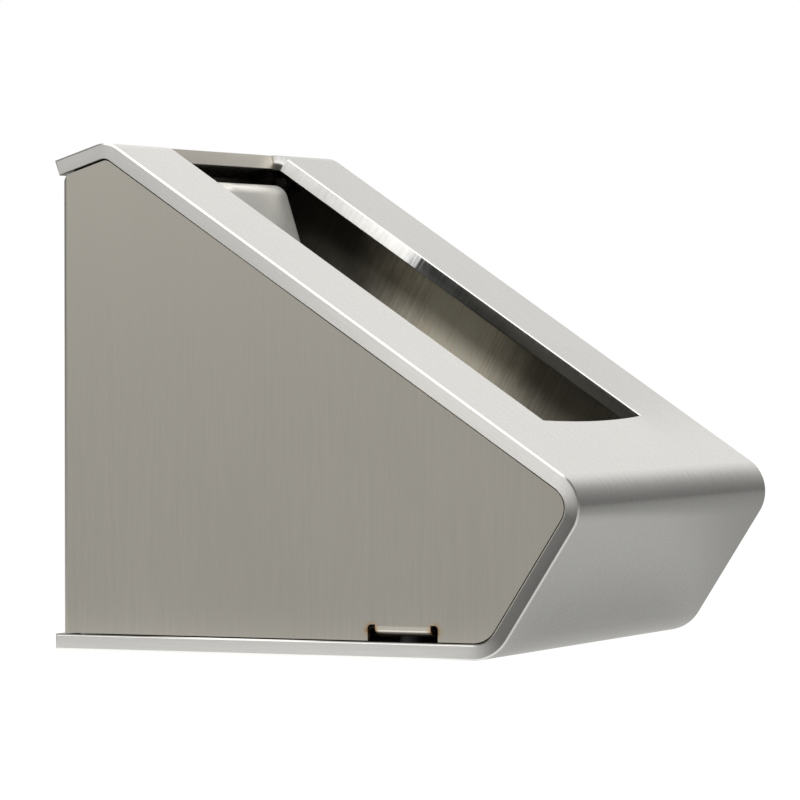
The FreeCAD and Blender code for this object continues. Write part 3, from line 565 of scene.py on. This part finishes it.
def bevel(piece, width_mm, chosen, segments, angle):
    """Rounds the sharp edges, each by its own share of the width, and shades the faces between them flat."""
    piece.data.polygons.foreach_set("use_smooth", [True] * len(piece.data.polygons))
    shell = bmesh.new()
    shell.from_mesh(piece.data)
    weight = shell.edges.layers.float.new("bevel_weight_edge")
    laid = shell.verts.layers.float_vector.get("laid_flat")
    for edge in shell.edges:
        if len(edge.link_faces) == 2 and edge.calc_face_angle() > math.radians(angle):
            edge[weight] = chosen(edge, edge.verts[0][laid].z if laid else 0.0)
    shell.to_mesh(piece.data)
    shell.free()
    made = piece.modifiers.new("rim", "BEVEL")
    made.width = width_mm * MM
    made.segments = segments
    made.limit_method = "WEIGHT"
    made.use_clamp_overlap = False
    flat = piece.modifiers.new("flat", "WEIGHTED_NORMAL")
    flat.mode = "FACE_AREA"
    flat.weight = 100
    settle(piece)


def new_piece(name, mesh):
    piece = bpy.data.objects.new(name, mesh)
    bpy.context.scene.collection.objects.link(piece)
    return piece


def hand_over(piece, material, node):
    """Gives the piece its finish and puts it in the place of a CAD node of the casing."""
    piece.data.materials.clear()
    piece.data.materials.append(material)
    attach(piece, "casing")
    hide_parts(node)


# ---- Folded plate ------------------------------------------------------------------------
def unit(a, b):
    """Direction from a to b."""
    length = math.hypot(b[0] - a[0], b[1] - a[1])
    return (b[0] - a[0]) / length, (b[1] - a[1]) / length


def stations():
    """Stops along the plate's outer line: (length, point, inward normal), with bends in fine steps.

    Also returns the index where the ridge bend starts and the index of the opening's lower end.
    """
    corners = (FLANGE_END, RIDGE, NOSE, HEEL, (0.0, 0.0))
    way = unit(corners[0], corners[1])
    stops = [(0.0, corners[0], (way[1], -way[0]))]
    marks = []

    def stop(point, normal):
        length, last, _ = stops[-1]
        stops.append((length + math.dist(last, point), point, normal))

    for before, corner, after, inner in zip(corners, corners[1:], corners[2:], INNER_RADII):
        u, v = unit(before, corner), unit(corner, after)
        turn = math.acos(u[0] * v[0] + u[1] * v[1])
        radius = inner + PLATE_T
        run = radius * math.tan(turn / 2)
        start = (corner[0] - u[0] * run, corner[1] - u[1] * run)
        inward = (u[1], -u[0])
        centre = (start[0] + inward[0] * radius, start[1] + inward[1] * radius)
        steps = math.ceil(turn / BEND_STEP)
        marks.append(len(stops))
        for i in range(steps + 1):
            angle = -turn * i / steps
            c, s = math.cos(angle), math.sin(angle)
            normal = (inward[0] * c - inward[1] * s, inward[0] * s + inward[1] * c)
            stop((centre[0] - normal[0] * radius, centre[1] - normal[1] * radius), normal)
        if corner is RIDGE:
            marks.append(len(stops))
            stop((corner[0] + v[0] * OPENING_END, corner[1] + v[1] * OPENING_END), normal)
    stop(corners[-1], normal)
    return stops, marks[0], marks[1]


def plate_mesh():
    """Closed mesh of the plate, from cells on its unfolded face."""
    stops, bend, lower = stations()
    outer, inner, index, laid, outward = [], [], {}, [], []

    def vertex(key, x, length, point, normal):
        if key not in index:
            index[key] = len(outer)
            outer.append((x * MM, -point[0] * MM, BASE_Z + point[1] * MM))
            deep = (point[0] + normal[0] * PLATE_T, point[1] + normal[1] * PLATE_T)
            inner.append((x * MM, -deep[0] * MM, BASE_Z + deep[1] * MM))
            laid.append((x * MM, length * MM))
            outward.append((0.0, normal[0], -normal[1]))
        return index[key]

    def at(row, x):
        length, point, normal = stops[row]
        if row == lower and abs(x) < OPENING_HALF:
            bow = OPENING_SAG * (1 - (x / OPENING_HALF) ** 2)
            point = (point[0] - normal[1] * bow, point[1] + normal[0] * bow)
        return vertex((row, round(x, 4)), x, length, point, normal)

    def cells(rows, columns):
        return [
            (at(r, a), at(r, b), at(r + 1, b), at(r + 1, a))
            for r in rows
            for a, b in zip(columns, columns[1:])
        ]

    last = len(stops) - 1
    slit_half = OPENING_HALF - STRIP_SLIT
    pieces = cells(range(last), (-HALF_W, -OPENING_HALF))
    pieces += cells(range(last), (OPENING_HALF, HALF_W))
    pieces += cells(range(bend), (-OPENING_HALF, -slit_half, slit_half, OPENING_HALF))
    across = [OPENING_HALF * (2 * i / SAG_STEPS - 1) for i in range(SAG_STEPS + 1)]
    pieces += cells(range(lower, last), across)
    way = unit(FLANGE_END, RIDGE)
    end = (FLANGE_END[0] + way[0] * STRIP_END, FLANGE_END[1] + way[1] * STRIP_END)
    ends = [vertex(("strip", side), side * slit_half, STRIP_END, end, stops[0][2]) for side in (-1, 1)]
    pieces.append((at(bend, -slit_half), at(bend, slit_half), ends[1], ends[0]))

    count = len(outer)
    used = {(c[i], c[(i + 1) % 4]) for c in pieces for i in range(4)}
    faces = [tuple(reversed(c)) for c in pieces]
    faces += [tuple(i + count for i in c) for c in pieces]
    faces += [(a, b, b + count, a + count) for a, b in used if (b, a) not in used]
    mesh = bpy.data.meshes.new("plate")
    mesh.from_pydata(outer + inner, [], faces)
    flat = [(*place, 0.0) for place in laid] + [(*place, PLATE_T * MM) for place in laid]
    for name, values in (("laid_flat", flat), ("outward", outward * 2)):
        data = mesh.attributes.new(name, "FLOAT_VECTOR", "POINT").data
        data.foreach_set("vector", [number for value in values for number in value])
    return mesh


def drain_cutters():
    """Round bars where the bottom's drain holes go."""
    made = []
    for side in (-1, 1):
        for x, d in DRAINS:
            bpy.ops.mesh.primitive_cylinder_add(
                vertices=32, radius=DRAIN_R * MM, depth=4 * PLATE_T * MM,
                location=(side * x * MM, -d * MM, BASE_Z),
            )
            made.append(bpy.context.object)
    return made


def rim_share(edge, depth):
    """Full on the plate's outer rim, less inside and round the opening, none at the strip's slits."""
    middle = (edge.verts[0].co + edge.verts[1].co) / 2
    across = abs(middle.x) / MM
    if across > HALF_W - NEAR:
        sloping = middle.y < -SLOPE_FROM * MM and middle.z > BASE_Z + NOSE[1] * MM
        return RIM_SHARES["slope_inside" if sloping and depth > 0 else "outer"]
    if middle.y > -STRIP_TO * MM:
        return RIM_SHARES["strip" if across < OPENING_HALF - 2 * NEAR else "slit"]
    return RIM_SHARES["opening" if middle.z > BASE_Z + (PLATE_T + NEAR) * MM else "inside"]


def turn_outward(mesh):
    """Makes every face look out of the solid."""
    shell = bmesh.new()
    shell.from_mesh(mesh)
    bmesh.ops.recalc_face_normals(shell, faces=shell.faces)
    shell.to_mesh(mesh)
    shell.free()


def build_plate(material):
    piece = new_piece("folded_plate", plate_mesh())
    turn_outward(piece.data)
    cut_out(piece, drain_cutters())
    bevel(piece, RIM_BEVEL, rim_share, 1, RIM_ANGLE)
    hand_over(piece, material, "casing_plate")


# ---- Stub hood ---------------------------------------------------------------------------
def plan_row(z, front, half, radius):
    """Points of one level of the hood: up one flank, round the front and down the other flank."""
    points = [(-half, HOOD_REAR)]
    for side, first in ((-1, 180.0), (1, 90.0)):
        for i in range(HOOD_ARC + 1):
            turn = math.radians(first - 90.0 * i / HOOD_ARC)
            x = side * (half - radius) + radius * math.cos(turn)
            points.append((x, front - radius + radius * math.sin(turn)))
    points.append((half, HOOD_REAR))
    return [(x * MM, -d * MM, BASE_Z + z * MM) for x, d in points]


def hood_skin(z):
    """Front and corner radius of the hood at a height."""
    upper, lower = (HOOD_TOP, HOOD_CHIN) if z >= HOOD_CHIN[1] else (HOOD_CHIN, HOOD_FOOT)
    share = (upper[1] - z) / (upper[1] - lower[1])
    return upper[0] + share * (lower[0] - upper[0]), upper[2] + share * (lower[2] - upper[2])


def hood_rows():
    """Levels of the hood from its domed top edge down over the chin to the foot."""
    rows = []
    for i in range(HOOD_ARC + 1):
        turn = math.radians(90.0 * i / HOOD_ARC)
        z = HOOD_TOP[1] - HOOD_EDGE_R * (1 - math.cos(turn))
        inset = HOOD_EDGE_R * (1 - math.sin(turn))
        front, radius = hood_skin(z)
        rows.append(plan_row(z, front - inset, HOOD_HALF_W - inset, max(radius - inset, HOOD_LEAST_R)))
    levels = [HOOD_CHIN[1] + height for height in HOOD_CHIN_LEVELS]
    for z in (*levels, HOOD_FOOT[1] + HOOD_LIP, HOOD_FOOT[1]):
        front, radius = hood_skin(z)
        eased = max(0.0, 1.0 - abs(z - HOOD_CHIN[1]) / HOOD_CHIN_REACH)
        rows.append(plan_row(z, front - eased, HOOD_HALF_W, radius))
    return rows


def hood_mesh():
    rows = hood_rows()
    count = len(rows[0])
    points = [point for row in rows for point in row]
    faces = [
        (r * count + c, r * count + c + 1, (r + 1) * count + c + 1, (r + 1) * count + c)
        for r in range(len(rows) - 1)
        for c in range(count - 1)
    ]
    faces.append(tuple(reversed(range(count))))
    faces.append(tuple((len(rows) - 1) * count + c for c in range(count)))
    mesh = bpy.data.meshes.new("hood")
    mesh.from_pydata(points, [], faces)
    return mesh


def add_wings(piece):
    """Flat ears that the hood is riveted by."""
    shell = bmesh.new()
    shell.from_mesh(piece.data)
    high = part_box("stub_hood")[1]
    for side in (-1, 1):
        xs = sorted((side * (HOOD_HALF_W - HOOD_T) * MM, side * high.x))
        ys = (high.y - HOOD_T * MM, high.y)
        zs = [BASE_Z + z * MM for z in HOOD_WING_Z]
        square = ((xs[0], ys[0]), (xs[1], ys[0]), (xs[1], ys[1]), (xs[0], ys[1]))
        corners = [shell.verts.new((x, y, z)) for z in zs for x, y in square]
        for ring in ((3, 2, 1, 0), (4, 5, 6, 7), (0, 1, 5, 4), (1, 2, 6, 5), (2, 3, 7, 6), (3, 0, 4, 7)):
            shell.faces.new([corners[i] for i in ring])
    shell.to_mesh(piece.data)
    shell.free()


def lock_hole():
    """Cutter along the lock's axis."""
    hinge = next(j for j in frame["joints"] if j["name"] == "lock_turn")
    axis = Vector(hinge["axis"]).normalized()
    bpy.ops.mesh.primitive_cylinder_add(
        vertices=40, radius=LOCK_HOLE_R * MM, depth=6 * HOOD_T * MM,
        location=hinge["pos_m"],
    )
    cutter = bpy.context.object
    cutter.rotation_mode = "QUATERNION"
    cutter.rotation_quaternion = axis.to_track_quat("Z", "Y")
    bpy.context.view_layer.update()
    return cutter


def build_hood(material):
    piece = new_piece("hood_shell", hood_mesh())
    thick = piece.modifiers.new("thick", "SOLIDIFY")
    thick.thickness = HOOD_T * MM
    thick.offset = -1.0
    thick.use_even_offset = True
    thick.use_rim = True
    settle(piece)
    add_wings(piece)
    cut_out(piece, [lock_hole()], crossing_itself=True)
    bevel(piece, HOOD_RIM, lambda edge, depth: 1.0, 2, HOOD_RIM_ANGLE)
    hand_over(piece, material, "stub_hood")


build_plate(plate_material())
build_hood(hood_material())
paint(side_material(), "side_panel_left", "side_panel_right")
paint(inner_material(), "back_plate")
paint(pan_material(), "ash_pan")
for finish_name, (*finish, finish_nodes) in SMALL_FINISHES.items():
    paint(small_material(finish_name, *finish), *finish_nodes)


# ---- Stage -------------------------------------------------------------------------------
def make_floor():
    """Pale floor, almost white for the camera; other rays see plain diffuse mixed with a painted glow,
    dimmer in front of the bin and off to the sides, as painted light and shade for the metal to mirror.
    """
    low, high = -FLOOR_HALF, FLOOR_HALF
    mesh = bpy.data.meshes.new("floor")
    corners = [(low, low, FLOOR_Z), (high, low, FLOOR_Z), (high, high, FLOOR_Z), (low, high, FLOOR_Z)]
    mesh.from_pydata(corners, [], [(0, 1, 2, 3)])
    material, graph, shader = new_material("floor_white")
    graph.feed(shader.inputs["Base Color"], FLOOR_COLOUR)
    graph.feed(shader.inputs["Roughness"], 0.9)
    glow = graph.node("Emission")
    graph.feed(glow.inputs["Color"], GLOW_COLOUR)
    seen = graph.node("LightPath").outputs["Is Camera Ray"]
    x, y, _ = graph.split(graph.place())
    # painted glow for the metal to mirror: dim in front of the bin and off to the sides
    sides = graph.times(graph.ramp(x, *FLOOR_LEFT), graph.ramp(x, *FLOOR_RIGHT))
    painted_glow = graph.times(graph.ramp(y, *FLOOR_DEPTHS), sides)
    graph.feed(glow.inputs["Strength"], graph.blend(seen, painted_glow, FLOOR_SEEN))
    choice = graph.node("MixShader")
    graph.feed(choice.inputs[0], graph.blend(seen, 0.8, 0.97))
    graph.feed(choice.inputs[1], shader.outputs[0])
    graph.feed(choice.inputs[2], glow.outputs[0])
    output = next(node for node in graph.tree.nodes if node.type == "OUTPUT_MATERIAL")
    graph.feed(output.inputs["Surface"], choice.outputs[0])
    mesh.materials.append(material)
    new_piece("floor", mesh)


def card(graph, way, centre, half_across, half_up, soft, strength):
    """Soft-edged bright rectangle in the surroundings, seen in one direction."""
    centre = Vector(centre).normalized()
    across = centre.cross(Vector((0, 0, 1))).normalized()
    up = across.cross(centre)
    front = graph.ramp(graph.vector("DOT_PRODUCT", way, tuple(centre), 1), 0.0, 0.2)
    sides = graph.math("ABSOLUTE", graph.vector("DOT_PRODUCT", way, tuple(across), 1))
    height = graph.math("ABSOLUTE", graph.vector("DOT_PRODUCT", way, tuple(up), 1))
    wide = graph.ramp(sides, half_across - soft, half_across + soft, 1.0, 0.0)
    tall = graph.ramp(height, half_up - soft, half_up + soft, 1.0, 0.0)
    return graph.times(wide, tall, front, strength)


def make_world():
    """Studio seen by the metal: a dim room with large soft cards; the camera sees plain white."""
    world = bpy.data.worlds.new("studio")
    world.use_nodes = True
    bpy.context.scene.world = world
    graph = Graph(world.node_tree)
    output = graph.node("OutputWorld")
    way = graph.vector("NORMALIZE", graph.node("TexCoord").outputs["Generated"])
    tone = ROOM_TONE
    for settings in CARDS:
        tone = graph.math("ADD", card(graph, way, *settings), tone)
    studio = graph.node("Background")
    graph.feed(studio.inputs["Color"], ROOM_COLOUR)
    graph.feed(studio.inputs["Strength"], tone)
    seen = graph.node("Background")
    graph.feed(seen.inputs["Color"], (1, 1, 1, 1))
    choice = graph.node("MixShader")
    graph.feed(choice.inputs[0], graph.node("LightPath").outputs["Is Camera Ray"])
    graph.feed(choice.inputs[1], studio.outputs[0])
    graph.feed(choice.inputs[2], seen.outputs[0])
    graph.feed(output.inputs["Surface"], choice.outputs[0])


def make_lamp():
    """Large soft lamp at the upper left, which lights the inside but isn't mirrored by the metal."""
    data = bpy.data.lights.new("key", "AREA")
    data.shape = "DISK"
    data.size = LAMP_SIZE
    data.energy = LAMP_WATTS
    lamp = bpy.data.objects.new("key", data)
    lamp.location = LAMP_PLACE
    lamp.rotation_mode = "QUATERNION"
    lamp.rotation_quaternion = (-LAMP_PLACE).to_track_quat("-Z", "Y")
    lamp.visible_glossy = False
    lamp.visible_camera = False
    bpy.context.scene.collection.objects.link(lamp)


def make_camera():
    data = bpy.data.cameras.new("camera")
    data.lens = LENS_MM
    data.sensor_width = SENSOR_MM
    data.shift_x, data.shift_y = SHIFT
    data.clip_start, data.clip_end = 0.05, 200.0
    camera = bpy.data.objects.new("camera", data)
    camera.location = EYE
    camera.rotation_mode = "QUATERNION"
    camera.rotation_quaternion = LOOK.to_track_quat("-Z", "Y")
    bpy.context.scene.collection.objects.link(camera)
    bpy.context.scene.camera = camera


make_floor()
make_world()
make_lamp()
make_camera()
bpy.context.scene.view_settings.view_transform = "Standard"
